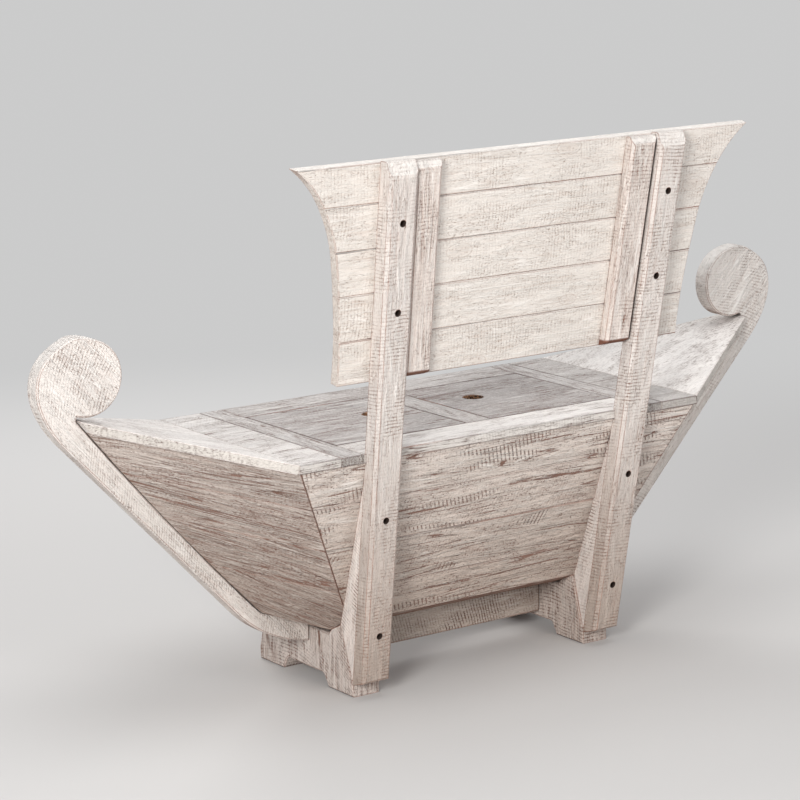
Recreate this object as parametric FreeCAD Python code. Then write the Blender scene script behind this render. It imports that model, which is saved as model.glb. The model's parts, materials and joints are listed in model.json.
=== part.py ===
import FreeCAD, Part
import math
import os
from FreeCAD import Rotation, Vector

# A whitewashed plank bench shaped like a boat, with a lidded seat and a leaning plank backrest.
# Millimetres. X runs along the bench, Y from front to rear, Z up from the floor. Left is the
# sitter's left, towards +X. While the pieces are made, Y = 0 is the middle of the hull.

# Cutting tools
overrun = 60.0
cutter_reach = 2400.0

# Worn edges
plank_arris = 1.4
stout_arris = 2.6
post_arris = 6.0

# Leg boards, one under each third of the hull
leg_thickness = 60.0
leg_inner_x = 236.5
leg_foot_inner_y = 76.0
leg_foot_outer_y = 157.0
leg_foot_height = 25.0
leg_arch_height = 24.0
leg_arch_half_width = 61.0
leg_arch_corner = 10.0
leg_cradle_half_width = 92.0
leg_cradle_gap = 8.0

# Hull: flat bottom, a bevel up to the chine, sides that lean out, and four flat end panels
hull_bottom_height = 113.0
hull_top_height = 455.0
hull_top_half_depth = 236.3
hull_flat_half_width = 89.0
chine_height = 131.0
chine_half_depth = 125.0
plank_thickness = 20.0
mitre_gap = 0.5
joint_top_x = 447.0
joint_foot_x = 271.0
side_seam_shares = (0.250, 0.518, 0.774)
stem_seam_shares = (0.256, 0.505, 0.739)
stem_seat_half_width = 27.0
rise_end_x = 402.0
rise_end_height = 150.0

# Keel beam between the leg boards
keel_half_width = 23.5
keel_foot_height = 36.0

# Stems: a foot against the leg board, a straight rise and a scroll
stem_thickness = 36.0
stem_foot_height = 76.0
stem_heel_x = 449.0
stem_heel_height = 152.0
stem_flare_angle = 1.7
stem_inner_bow = 7.0
scroll_set_back = 25.0
scroll_lift = 71.0
scroll_radius = 69.0
scroll_run_in = 50.6
scroll_crown_turn = 63.2
scroll_swell_turn_shares = (-0.247, -0.163, -0.074, 0.023)
scroll_swell_radius_shares = (1.587, 1.461, 1.319, 1.130)

# Deck
deck_thickness = 17.0
deck_overhang = 3.7
deck_crease_x = 451.0
deck_tip_x = 763.0
deck_tip_half_width = 29.0
deck_tip_rise = 86.0
well_half_length = 316.0
deck_rail_width = 88.0
cross_rail_width = 48.0
centre_bar_half_width = 28.0

# Lids with their finger holes
lid_gap = 1.5
finger_hole_radius = 19.5
finger_hole_x = 117.0
finger_hole_front_offset = 24.0

# Inside the hull
rib_thickness = 30.0
rib_inner_x = 262.0
rib_width = 50.0
ledger_height = 24.0
ledger_bearing = 15.0
ledger_width = 53.0
end_block_height = 60.0

# Posts, which lean back and splay apart as they rise
post_let_in = 5.1
post_leg_gap = 0.4
splay_slope = 0.032
post_width = 60.0
post_thickness = 33.0
post_foot_x = 266.0
post_foot_height = 24.0
post_foot_bevel = 10.0
post_head_rise = 2.0
post_top_bevel_height = 27.0
post_top_bevel_depth = 16.0

# Wedges that fill the space between post and hull
wedge_inset = 1.5
wedge_foot_height = 32.0
wedge_head_drop = 43.0

# Backrest: five planks with sides that flare like a sail
back_thickness = 20.0
back_foot_height = 604.0
back_height = 392.0
back_seam_shares = (0.202, 0.411, 0.615, 0.819)
back_foot_half_width = 383.0
back_flare = 114.0
back_flare_height_shares = (0.230, 0.500, 0.660, 0.805, 0.915, 1.000, 1.060)
back_flare_width_shares = (0.020, 0.130, 0.235, 0.440, 0.690, 1.000, 1.300)

# Battens beside the posts
batten_thickness = 21.5
batten_width = 57.0
batten_post_gap = 1.0
batten_foot_bevel = 9.0
batten_head_drop = 2.0
batten_top_bevel_height = 15.0
batten_top_bevel_depth = 10.0

# Screws, sunk in the posts
screw_hole_radius = 5.5
screw_head_radius = 5.0
screw_head_height = 5.0
screw_sink = 15.0
screw_shank_radius = 3.0
screw_clearance = 0.3
back_screw_length = 33.0
frame_screw_length = 95.0
back_screw_shares = (0.324, 0.730)
frame_screw_shares = (0.032, 0.684)

# Worked out from the sizes above
leg_outer_x = leg_inner_x + leg_thickness
hull_height = hull_top_height - hull_bottom_height
side_slope = (hull_top_half_depth - chine_half_depth) / (hull_top_height - chine_height)
side_angle = math.atan(side_slope)
bevel_slope = (chine_height - hull_bottom_height) / (chine_half_depth - hull_flat_half_width)
cradle_height = hull_bottom_height - leg_cradle_gap
floor_top_height = hull_bottom_height + plank_thickness
deck_top_height = hull_top_height + deck_thickness
deck_half_depth = hull_top_half_depth + deck_overhang
well_half_depth = deck_half_depth - deck_rail_width
ramp_angle = math.atan2(deck_tip_rise, deck_tip_x - deck_crease_x)
deck_low_crease_x = deck_crease_x + deck_thickness * math.tan(ramp_angle / 2)
stem_tip_height = deck_top_height + deck_tip_rise
stem_rake = math.degrees(math.atan2(stem_tip_height - rise_end_height, deck_tip_x - rise_end_x)) - stem_flare_angle
scroll_neck_angle = math.degrees(math.atan2(-scroll_lift, scroll_set_back))
scroll_crown_angle = stem_rake + scroll_crown_turn
cross_rail_outer_x = well_half_length + cross_rail_width
ledger_inner_y = well_half_depth - ledger_bearing
post_deck_y = deck_half_depth - post_let_in
post_leg_y = leg_foot_outer_y + post_leg_gap
rake_slope = (post_deck_y - post_leg_y) / (deck_top_height - leg_foot_height)
rake_angle = math.atan(rake_slope)
rake_stretch = math.hypot(1, rake_slope)
post_front_y = post_leg_y - rake_slope * leg_foot_height
post_rear_y = post_front_y + post_thickness * rake_stretch
batten_rear_y = post_front_y + batten_thickness * rake_stretch
wedge_top_height = hull_top_height - wedge_head_drop
back_top_height = back_foot_height + back_height
post_top_height = back_top_height + post_head_rise
batten_top_height = back_top_height - batten_head_drop

LEFT_RIGHT = (("left", 1), ("right", -1))
REAR_FRONT = (("rear", 1), ("front", -1))
ACROSS = Vector(1, 0, 0)
REARWARD = Vector(0, 1, 0)
UP = Vector(0, 0, 1)
MIDDLE = Vector(0, 0, 0)


def side_y(height):
    """Outer face of the hull side at a height."""
    return chine_half_depth + side_slope * (height - chine_height)


def bevel_height(y):
    """Underside of the hull on the bevel between the flat bottom and the chine."""
    return hull_bottom_height + bevel_slope * (y - hull_flat_half_width)


def ramp_top(x):
    """Top of the deck on the rising end."""
    return deck_top_height + math.tan(ramp_angle) * (x - deck_crease_x)


def ramp_underside(x):
    """Underside of the deck on the rising end."""
    return hull_top_height + math.tan(ramp_angle) * (x - deck_low_crease_x)


def raked(y_at_floor, height):
    """Where a leaning plane stands at a height."""
    return y_at_floor + rake_slope * height


def post_x(height):
    """Centre line of a post at a height."""
    return post_foot_x + splay_slope * height


def prism(points, direction):
    """Solid swept from a closed outline of points or edges."""
    if isinstance(points[0], Vector):
        wire = Part.makePolygon(list(points) + [points[0]])
    else:
        wire = Part.Wire(points)
    return Part.Face(wire).extrude(direction)


def along_x(outline, start, end):
    """Solid with a (y, z) outline between two x places."""
    points = [Vector(start, y, z) for y, z in outline]
    return prism(points, ACROSS * (end - start))


def along_y(outline, start, end):
    """Solid with an (x, z) outline between two y places."""
    points = [Vector(x, start, z) for x, z in outline]
    return prism(points, REARWARD * (end - start))


def along_z(outline, start, end):
    """Solid with an (x, y) outline between two heights."""
    points = [Vector(x, y, start) for x, y in outline]
    return prism(points, UP * (end - start))


def block(x0, x1, y0, y1, z0, z1):
    """Box between two corners."""
    return Part.makeBox(x1 - x0, y1 - y0, z1 - z0, Vector(x0, y0, z0))


def cut_beyond(shape, point, normal):
    """The shape without what lies beyond a plane, on its normal's side."""
    corner = Vector(-cutter_reach / 2, -cutter_reach / 2, 0)
    tool = Part.makeBox(cutter_reach, cutter_reach, cutter_reach, corner)
    tool.Placement = FreeCAD.Placement(point, Rotation(UP, normal))
    return shape.cut(tool)


def eased(shape, size):
    """Worn arrises all round."""
    return shape.makeChamfer(size, shape.Edges)


def mirrored(shape, x_side, y_side=1):
    """The piece on the side that the signs name."""
    if x_side < 0:
        shape = shape.mirror(MIDDLE, ACROSS)
    if y_side < 0:
        shape = shape.mirror(MIDDLE, REARWARD)
    return shape


def arc_to(start, end, end_direction):
    """Arc from start to end that arrives along a direction."""
    chord = end - start
    normal = UP.cross(ACROSS)
    half = chord * 0.5
    bend = chord.getAngle(end_direction)
    sagitta = half.Length * math.tan(bend / 2)
    outward = chord.cross(normal).normalize()
    if outward.dot(end_direction) > 0:
        outward = -outward
    return Part.Arc(start, start + half + outward * sagitta, end).toShape()


def polar(centre, radius, degrees):
    """Point round a centre in the XZ plane."""
    angle = math.radians(degrees)
    return centre + Vector(radius * math.cos(angle), 0, radius * math.sin(angle))


# The hull's outer planes and joint lines, for the left rear quarter

def joint_point(height):
    """Point on the joint between the side and the end panel."""
    share = (height - hull_bottom_height) / hull_height
    x = joint_foot_x + share * (joint_top_x - joint_foot_x)
    return Vector(x, side_y(height), height)


def stem_bed_point(height):
    """Point on the straight between the ends of the stem's inner edge."""
    share = (height - rise_end_height) / (stem_tip_height - rise_end_height)
    x = rise_end_x + share * (deck_tip_x - rise_end_x)
    y = stem_seat_half_width
    return Vector(x, y, height)


side_normal = Vector(0, math.cos(side_angle), -math.sin(side_angle))
joint_line = (joint_point(hull_top_height) - joint_point(hull_bottom_height)).normalize()
bed_middle = stem_bed_point((rise_end_height + stem_tip_height) / 2)
end_normal = joint_line.cross(bed_middle - joint_point(hull_top_height)).normalize()
mitre_normal = joint_line.cross(side_normal + end_normal).normalize()
if mitre_normal.x < 0:
    mitre_normal = -mitre_normal


def on_end_plane(point):
    """The point moved front to rear until it lies on the end panel's outer face."""
    away = (bed_middle - point).dot(end_normal) / end_normal.y
    return point + REARWARD * away


def stem_inner_edges(y):
    """The stem's inner edge: up the hull's rise, then a slightly bowed line to the deck's tip."""
    foot = Vector(leg_outer_x, y, hull_bottom_height)
    knee = Vector(rise_end_x, y, rise_end_height)
    tip = Vector(deck_tip_x, y, stem_tip_height)
    chord = (tip - knee).normalize()
    outward = Vector(chord.z, 0, -chord.x)
    middle = (knee + tip) * 0.5 + outward * stem_inner_bow
    return foot, knee, tip, [Part.LineSegment(foot, knee).toShape(), Part.Arc(knee, middle, tip).toShape()]


def stem_bed():
    """Everything below and beyond the hull's end: the flat bottom, its rise and the stem's edge."""
    y = -deck_half_depth - overrun
    foot, knee, tip, edges = stem_inner_edges(y)
    chord = (tip - knee).normalize()
    above = tip + chord * overrun
    far = Vector(tip.x + 3 * overrun, y, above.z)
    low = Vector(far.x, y, 0)
    low_near = Vector(leg_inner_x - overrun, y, 0)
    near = Vector(low_near.x, y, hull_bottom_height)
    path = [tip, above, far, low, low_near, near, foot]
    lines = [Part.LineSegment(a, b).toShape() for a, b in zip(path, path[1:])]
    outline = Part.sortEdges(edges + lines)[0]
    return prism(outline, REARWARD * (-2 * y))


def deck_space():
    """Everything above the deck's underside."""
    far = deck_tip_x + 3 * overrun
    ceiling = ramp_top(far) + overrun
    outline = [
        (-far, ramp_underside(far)),
        (-deck_low_crease_x, hull_top_height),
        (deck_low_crease_x, hull_top_height),
        (far, ramp_underside(far)),
        (far, ceiling),
        (-far, ceiling),
    ]
    return along_y(outline, -deck_half_depth - overrun, deck_half_depth + overrun)


def course_heights(shares, low, high):
    """Lower and upper seam of each course of planks, the outer two carried past the panel."""
    seams = [low + share * (high - low) for share in shares]
    bounds = [low - overrun] + seams + [high + overrun]
    return list(zip(bounds, bounds[1:]))


def side_planks():
    """The rear side's courses, lowest first."""
    planks = []
    for low, high in course_heights(side_seam_shares, hull_bottom_height, hull_top_height):
        outer_low = Vector(-cutter_reach / 4, side_y(low), low)
        outer_high = Vector(-cutter_reach / 4, side_y(high), high)
        inward = -side_normal * plank_thickness
        corners = [outer_low, outer_high, outer_high + inward, outer_low + inward]
        plank = prism(corners, ACROSS * (cutter_reach / 2))
        plank = eased(plank, plank_arris)
        for sign in (1, -1):
            normal = Vector(sign * mitre_normal.x, mitre_normal.y, mitre_normal.z)
            point = joint_point(hull_bottom_height) - mitre_normal * mitre_gap
            plank = cut_beyond(plank, Vector(sign * point.x, point.y, point.z), normal)
        plank = cut_beyond(plank, Vector(0, 0, hull_top_height), UP)
        plank = cut_under_bevel(plank)
        planks.append(plank)
    return planks


def cut_under_bevel(shape):
    """The shape without what lies below the hull's flat bottom and its rear bevel."""
    shape = cut_beyond(shape, Vector(0, 0, hull_bottom_height), -UP)
    normal = Vector(0, bevel_slope, -1).normalize()
    return cut_beyond(shape, Vector(0, hull_flat_half_width, hull_bottom_height), normal)


def end_planks():
    """The left rear end panel's courses, lowest first."""
    side_courses = course_heights(side_seam_shares, hull_bottom_height, hull_top_height)
    stem_courses = course_heights(stem_seam_shares, rise_end_height, stem_tip_height)
    bed = stem_bed()
    above = deck_space()
    planks = []
    for (side_low, side_high), (stem_low, stem_high) in zip(side_courses, stem_courses):
        corners = []
        for side_height, stem_height in ((side_low, stem_low), (side_high, stem_high)):
            at_joint = joint_point(side_height)
            at_stem = on_end_plane(stem_bed_point(stem_height))
            reach = (at_stem - at_joint).normalize() * overrun
            corners.append((at_joint - reach, at_stem + reach))
        (low_in, low_out), (high_in, high_out) = corners
        plank = prism([low_in, low_out, high_out, high_in], -end_normal * plank_thickness)
        plank = eased(plank, plank_arris)
        plank = cut_beyond(plank, joint_point(hull_bottom_height) + mitre_normal * mitre_gap, -mitre_normal)
        plank = cut_beyond(plank, Vector(0, mitre_gap / 2, 0), -REARWARD)
        plank = cut_under_bevel(plank.cut(bed).cut(above))
        planks.append(plank)
    return planks


def inside_hull(shape):
    """The shape without what the hull's side and end planks fill."""
    for x_side in (1, -1):
        for y_side in (1, -1):
            for point, normal in (
                (joint_point(hull_top_height), side_normal),
                (bed_middle, end_normal),
            ):
                inner = point - normal * plank_thickness
                place = Vector(x_side * inner.x, y_side * inner.y, inner.z)
                facing = Vector(x_side * normal.x, y_side * normal.y, normal.z)
                shape = cut_beyond(shape, place, facing)
    return shape


def bottom_board():
    """The hull's floor between the side planks, its lower arrises on the bevels."""
    board = block(-leg_outer_x, leg_outer_x, -chine_half_depth, chine_half_depth,
                  hull_bottom_height, floor_top_height)
    board = cut_under_bevel(board)
    board = mirrored(cut_under_bevel(mirrored(board, 1, -1)), 1, -1)
    return inside_hull(board)


def end_block():
    """The solid corner over the stem's foot, between the end panels."""
    top = hull_bottom_height + end_block_height
    outline = [
        (leg_outer_x, hull_bottom_height),
        (rise_end_x, rise_end_height),
        (stem_bed_point(top).x, top),
        (leg_outer_x, top),
    ]
    return inside_hull(along_y(outline, -deck_half_depth, deck_half_depth))


def rib():
    """Open frame over the leg board: a floor piece and two arms in one, with seats for the ledgers."""
    outer = block(rib_inner_x, rib_inner_x + rib_thickness, -deck_half_depth, deck_half_depth,
                  floor_top_height, hull_top_height)
    outer = inside_hull(outer)
    inner_low = side_y(floor_top_height) - plank_thickness - rib_width
    inner_high = side_y(hull_top_height) - plank_thickness - rib_width
    opening = [
        (-inner_low, floor_top_height + rib_width),
        (inner_low, floor_top_height + rib_width),
        (inner_high, hull_top_height),
        (-inner_high, hull_top_height),
    ]
    frame = outer.cut(along_x(opening, rib_inner_x - overrun, rib_inner_x + rib_thickness + overrun))
    for y_side in (1, -1):
        frame = frame.cut(mirrored(ledger(), 1, y_side))
    return frame


def ledger():
    """Strip under the rear deck rail that the lids rest on."""
    return block(-cross_rail_outer_x, cross_rail_outer_x, ledger_inner_y, ledger_inner_y + ledger_width,
                 hull_top_height - ledger_height, hull_top_height)


def leg_board():
    """Board with two feet, an arch between them and a cradle for the hull."""
    half = [
        Vector(leg_inner_x, 0, leg_arch_height),
        Vector(leg_inner_x, leg_arch_half_width, leg_arch_height),
        Vector(leg_inner_x, leg_foot_inner_y, 0),
        Vector(leg_inner_x, leg_foot_outer_y, 0),
        Vector(leg_inner_x, leg_foot_outer_y, leg_foot_height),
        Vector(leg_inner_x, chine_half_depth, chine_height),
        Vector(leg_inner_x, leg_cradle_half_width, bevel_height(leg_cradle_half_width)),
        Vector(leg_inner_x, leg_cradle_half_width - leg_cradle_gap, cradle_height),
        Vector(leg_inner_x, 0, cradle_height),
    ]
    board = prism(half, ACROSS * leg_thickness)
    corners = [edge for edge in board.Edges if is_arch_corner(edge)]
    board = board.makeFillet(leg_arch_corner, corners)
    board = board.fuse(mirrored(board, 1, -1)).removeSplitter()
    outline = [edge for edge in board.Edges if not is_across(edge) and not touches_cradle(edge)]
    return board.makeChamfer(stout_arris, outline)


def is_across(edge):
    """Whether an edge runs along X."""
    return edge.BoundBox.XLength > edge.BoundBox.YLength + edge.BoundBox.ZLength


def is_arch_corner(edge):
    """Whether an edge is the corner at the arch's top."""
    middle = edge.CenterOfMass
    return is_across(edge) and abs(middle.y - leg_arch_half_width) < leg_arch_corner / 2


def touches_cradle(edge):
    """Whether an edge lies on the face that carries the hull."""
    middle = edge.CenterOfMass
    return leg_cradle_half_width - leg_cradle_gap < abs(middle.y) < chine_half_depth and middle.z > cradle_height


def keel_beam():
    """Beam between the leg boards, under the bottom board."""
    return eased(block(-leg_inner_x, leg_inner_x, -keel_half_width, keel_half_width,
                       keel_foot_height, hull_bottom_height), stout_arris)


def stem():
    """Bow stem with its scroll, sawn from one thick board."""
    y = -stem_thickness / 2
    foot, knee, tip, inner = stem_inner_edges(y)
    toe = Vector(leg_outer_x, y, stem_foot_height)
    heel = Vector(stem_heel_x, y, stem_heel_height)
    rise = polar(MIDDLE, 1, stem_rake)
    centre = tip + Vector(-scroll_set_back, 0, scroll_lift)
    shoulder = heel + rise * ((centre - heel).dot(rise) - scroll_run_in)
    crown = polar(centre, scroll_radius, scroll_crown_angle)
    swell = [shoulder]
    for turn_share, radius_share in zip(scroll_swell_turn_shares, scroll_swell_radius_shares):
        swell.append(polar(centre, scroll_radius * radius_share, stem_rake + 360 * turn_share))
    swell.append(crown)
    outer_curve = Part.BSplineCurve()
    onward = polar(MIDDLE, 1, scroll_crown_angle + 90)
    outer_curve.interpolate(Points=swell, InitialTangent=rise, FinalTangent=onward)
    neck = polar(centre, scroll_radius, scroll_neck_angle)
    back = polar(centre, scroll_radius, (scroll_crown_angle + scroll_neck_angle + 360) / 2)
    edges = [
        arc_to(toe, heel, rise),
        Part.LineSegment(heel, shoulder).toShape(),
        outer_curve.toShape(),
        Part.Arc(crown, back, neck).toShape(),
        Part.LineSegment(neck, tip).toShape(),
        Part.LineSegment(foot, toe).toShape(),
    ]
    outline = Part.sortEdges(edges + inner)[0]
    board = prism(outline, REARWARD * stem_thickness)
    worn = [edge for edge in board.Edges if edge.BoundBox.YLength < stout_arris]
    return board.makeChamfer(stout_arris, worn)


def deck_boards():
    """Rails, bars and end boards of the deck, each with its node's name."""
    low, high = hull_top_height, deck_top_height
    boards = {}
    rail = block(-well_half_length, well_half_length, well_half_depth, deck_half_depth, low, high)
    bar = block(-centre_bar_half_width, centre_bar_half_width, -well_half_depth, well_half_depth, low, high)
    cross = block(well_half_length, cross_rail_outer_x, -deck_half_depth, deck_half_depth, low, high)
    flat = [
        (cross_rail_outer_x, low),
        (deck_low_crease_x, low),
        (deck_crease_x, high),
        (cross_rail_outer_x, high),
    ]
    end = along_y(flat, -deck_half_depth, deck_half_depth)
    boards["deck_rail_rear"] = eased(rail, plank_arris)
    boards["deck_rail_front"] = mirrored(boards["deck_rail_rear"], 1, -1)
    boards["deck_centre_bar"] = eased(bar, plank_arris)
    for side, sign in LEFT_RIGHT:
        boards["deck_cross_rail_" + side] = mirrored(eased(cross, plank_arris), sign)
        boards["deck_end_board_" + side] = mirrored(eased(end, plank_arris), sign)
        boards["deck_ramp_" + side] = mirrored(deck_ramp(), sign)
    return boards


def deck_ramp():
    """Board that rises and narrows to the stem."""
    far = deck_tip_x + deck_thickness
    section = [
        (deck_low_crease_x, hull_top_height),
        (far, ramp_underside(far)),
        (far, ramp_top(far)),
        (deck_crease_x, deck_top_height),
    ]
    board = along_y(section, -deck_half_depth, deck_half_depth)
    taper = (deck_half_depth - deck_tip_half_width) / (deck_tip_x - deck_crease_x)
    far_half = deck_half_depth - taper * (far - deck_crease_x)
    plan = [
        (deck_crease_x, deck_half_depth),
        (far, far_half),
        (far, -far_half),
        (deck_crease_x, -deck_half_depth),
    ]
    board = board.common(along_z(plan, 0, ramp_top(far)))
    board = board.cut(stem_bed())
    long_edges = [edge for edge in board.Edges if edge.Length > deck_half_depth]
    return board.makeChamfer(plank_arris, long_edges)


def lid():
    """Left lift-out lid with its finger hole."""
    board = block(centre_bar_half_width + lid_gap, well_half_length - lid_gap,
                  -well_half_depth + lid_gap, well_half_depth - lid_gap,
                  hull_top_height, deck_top_height)
    hole = Part.makeCylinder(finger_hole_radius, deck_thickness,
                             Vector(finger_hole_x, -finger_hole_front_offset, hull_top_height))
    return eased(board.cut(hole), plank_arris)


def post_outline(inset):
    """Splayed (x, z) outline of a post, from the floor to its top."""
    half = post_width / 2 - inset
    return [
        (post_x(0) - half, 0),
        (post_x(0) + half, 0),
        (post_x(post_top_height) + half, post_top_height),
        (post_x(post_top_height) - half, post_top_height),
    ]


def worn_post(board):
    """A post or batten with broad chamfers along its rear arrises and small ones across its ends."""
    rear = [edge for edge in board.Edges if edge.Length > 2 * post_width and is_rear_of_post(edge)]
    board = board.makeChamfer(post_arris, rear)
    ends = [edge for edge in board.Edges if is_across(edge) and is_rear_of_post(edge)]
    return board.makeChamfer(stout_arris, ends)


def is_rear_of_post(edge):
    """Whether an edge lies clear of the plane that the posts' front faces share."""
    middle = edge.CenterOfMass
    return middle.y > raked(post_front_y, middle.z) + stout_arris


def post():
    """Leaning post with a bevelled foot and head."""
    head = post_top_height - post_top_bevel_height
    section = [
        (raked(post_front_y, post_foot_height), post_foot_height),
        (raked(post_rear_y, post_foot_height + post_foot_bevel), post_foot_height + post_foot_bevel),
        (raked(post_rear_y, head), head),
        (raked(post_rear_y, post_top_height) - post_top_bevel_depth, post_top_height),
        (raked(post_front_y, post_top_height), post_top_height),
    ]
    slab = along_x(section, post_foot_x - cutter_reach / 4, post_foot_x + cutter_reach / 4)
    return worn_post(slab.common(along_y(post_outline(0), 0, cutter_reach / 2)))


def wedge():
    """Packing piece between the post, the leg board and the leaning hull side."""
    leg_slope = (leg_foot_outer_y - chine_half_depth) / (chine_height - leg_foot_height)
    leg_y = leg_foot_outer_y - leg_slope * (wedge_foot_height - leg_foot_height)
    section = [
        (leg_y, wedge_foot_height),
        (raked(post_front_y, wedge_foot_height), wedge_foot_height),
        (raked(post_front_y, wedge_top_height), wedge_top_height),
        (side_y(wedge_top_height), wedge_top_height),
        (chine_half_depth, chine_height),
    ]
    slab = along_x(section, post_foot_x - cutter_reach / 4, post_foot_x + cutter_reach / 4)
    return slab.common(along_y(post_outline(wedge_inset), 0, cutter_reach / 2))


def batten():
    """Short batten on the backrest, beside the post and less thick."""
    outer_low = post_x(back_foot_height) - post_width / 2 - batten_post_gap
    outer_high = post_x(batten_top_height) - post_width / 2 - batten_post_gap
    outline = [
        (outer_low - batten_width, back_foot_height),
        (outer_low, back_foot_height),
        (outer_high, batten_top_height),
        (outer_high - batten_width, batten_top_height),
    ]
    foot = back_foot_height + batten_foot_bevel
    head = batten_top_height - batten_top_bevel_height
    section = [
        (raked(post_front_y, back_foot_height), back_foot_height),
        (raked(batten_rear_y, foot), foot),
        (raked(batten_rear_y, head), head),
        (raked(batten_rear_y, batten_top_height) - batten_top_bevel_depth, batten_top_height),
        (raked(post_front_y, batten_top_height), batten_top_height),
    ]
    return worn_post(along_y(outline, 0, cutter_reach / 2).common(along_x(section, 0, cutter_reach / 2)))


def back_side(x_side):
    """One side of the backrest's outline, from under its foot to over its head."""
    start = Vector(x_side * back_foot_half_width, 0, back_foot_height - overrun)
    foot = Vector(start.x, 0, back_foot_height)
    points = [foot]
    for height_share, width_share in zip(back_flare_height_shares, back_flare_width_shares):
        x = back_foot_half_width + width_share * back_flare
        points.append(Vector(x_side * x, 0, back_foot_height + height_share * back_height))
    curve = Part.BSplineCurve()
    curve.interpolate(Points=points)
    return [Part.LineSegment(start, foot).toShape(), curve.toShape()], start, points[-1]


def back_planks():
    """The backrest's planks, lowest first, with seams square to their faces."""
    left_edges, left_foot, left_head = back_side(1)
    right_edges, right_foot, right_head = back_side(-1)
    outline = Part.sortEdges(left_edges + right_edges + [
        Part.LineSegment(left_foot, right_foot).toShape(),
        Part.LineSegment(left_head, right_head).toShape(),
    ])[0]
    shape = prism(outline, REARWARD * (cutter_reach / 2))
    foot_rear = Vector(0, raked(post_front_y, back_foot_height), back_foot_height)
    upward = Vector(0, math.sin(rake_angle), math.cos(rake_angle))
    rearward = Vector(0, math.cos(rake_angle), -math.sin(rake_angle))
    bounds = [0] + [share * back_height for share in back_seam_shares] + [back_height]
    planks = []
    for low, high in zip(bounds, bounds[1:]):
        rear_low = foot_rear + upward * (low * rake_stretch)
        rear_high = foot_rear + upward * (high * rake_stretch)
        forward = -rearward * back_thickness
        start = -ACROSS * (cutter_reach / 2)
        corners = [rear_low + start, rear_high + start, rear_high + forward + start, rear_low + forward + start]
        slab = prism(corners, ACROSS * cutter_reach)
        planks.append(eased(slab.common(shape), plank_arris))
    return planks


def screw_place(height, x_side):
    """Where a screw's hole enters the post's rear face, and the way it goes in."""
    place = Vector(x_side * post_x(height), raked(post_rear_y, height), height)
    inward = Vector(0, -math.cos(rake_angle), math.sin(rake_angle))
    return place, inward


def screw(height, x_side, length):
    """Screw with a round head on the floor of its sunk hole."""
    place, inward = screw_place(height, x_side)
    seat = place + inward * screw_sink
    head = Part.makeCylinder(screw_head_radius, screw_head_height, seat, -inward)
    shank = Part.makeCylinder(screw_shank_radius, length, seat, inward)
    return head.fuse(shank).removeSplitter()


def screw_space(height, x_side, length):
    """Sunk hole and bore for one screw."""
    place, inward = screw_place(height, x_side)
    sink = Part.makeCylinder(screw_hole_radius, screw_sink + overrun, place - inward * overrun, inward)
    bore = Part.makeCylinder(screw_shank_radius + screw_clearance, length + screw_clearance,
                             place + inward * screw_sink, inward)
    return sink.fuse(bore)


def all_screws():
    """Screws and their spaces, by the name of their node."""
    kinds = (
        ("backrest_screws", back_foot_height, back_height, back_screw_shares, back_screw_length),
        ("frame_screws", hull_bottom_height, hull_height, frame_screw_shares, frame_screw_length),
    )
    screws = {}
    spaces = []
    for name, low, span, shares, length in kinds:
        places = [(low + share * span, sign) for share in shares for side, sign in LEFT_RIGHT]
        screws[name] = Part.makeCompound([screw(height, sign, length) for height, sign in places])
        spaces += [screw_space(height, sign, length) for height, sign in places]
    return screws, spaces


def bored(shape, spaces):
    """The piece with a hole for each screw that reaches it."""
    for space in spaces:
        if shape.BoundBox.intersect(space.BoundBox):
            shape = shape.cut(space)
    return shape


def wooden_pieces():
    """Every wooden piece before its screw holes, by node name."""
    pieces = {"keel_beam": keel_beam(), "bottom_board": bottom_board()}
    pieces.update(deck_boards())
    for side, sign in LEFT_RIGHT:
        pieces["leg_board_" + side] = mirrored(leg_board(), sign)
        pieces["stem_" + side] = mirrored(stem(), sign)
        pieces["end_block_" + side] = mirrored(end_block(), sign)
        pieces["rib_" + side] = mirrored(rib(), sign)
        pieces["lid_" + side] = mirrored(lid(), sign)
        pieces["post_" + side] = mirrored(post(), sign)
        pieces["post_wedge_" + side] = mirrored(wedge(), sign)
        pieces["back_batten_" + side] = mirrored(batten(), sign)
    for end, y_sign in REAR_FRONT:
        pieces["lid_ledger_" + end] = mirrored(ledger(), 1, y_sign)
        for number, plank in enumerate(side_planks(), 1):
            pieces[f"side_plank_{end}_{number}"] = mirrored(plank, 1, y_sign)
        for side, x_sign in LEFT_RIGHT:
            for number, plank in enumerate(end_planks(), 1):
                pieces[f"end_plank_{end}_{side}_{number}"] = mirrored(plank, x_sign, y_sign)
    for number, plank in enumerate(back_planks(), 1):
        pieces[f"back_plank_{number}"] = plank
    return pieces


def let_in_posts(pieces):
    """The posts stand in shallow notches in the rear rail and the top side plank."""
    for name in ("deck_rail_rear", f"side_plank_rear_{len(side_seam_shares) + 1}"):
        for side, sign in LEFT_RIGHT:
            pieces[name] = pieces[name].cut(pieces["post_" + side])


def main():
    """Write each piece to its own file, with the origin under the middle of the whole bench."""
    os.makedirs("parts", exist_ok=True)
    pieces = wooden_pieces()
    let_in_posts(pieces)
    screws, spaces = all_screws()
    pieces = {name: bored(shape, spaces) for name, shape in pieces.items()}
    pieces.update(screws)
    whole = FreeCAD.BoundBox()
    for shape in pieces.values():
        whole.add(shape.BoundBox)
    for name, shape in pieces.items():
        placed = shape.copy()
        placed.translate(REARWARD * -whole.Center.y)
        placed.exportStep(f"parts/{name}.step")


main()
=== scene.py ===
import json
import math

import bpy
import numpy as np
from mathutils import Matrix, Vector

# The bench's looks: whitewashed, rough-sawn wood, rubbed back along its arrises.
# Metres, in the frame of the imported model.

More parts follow.
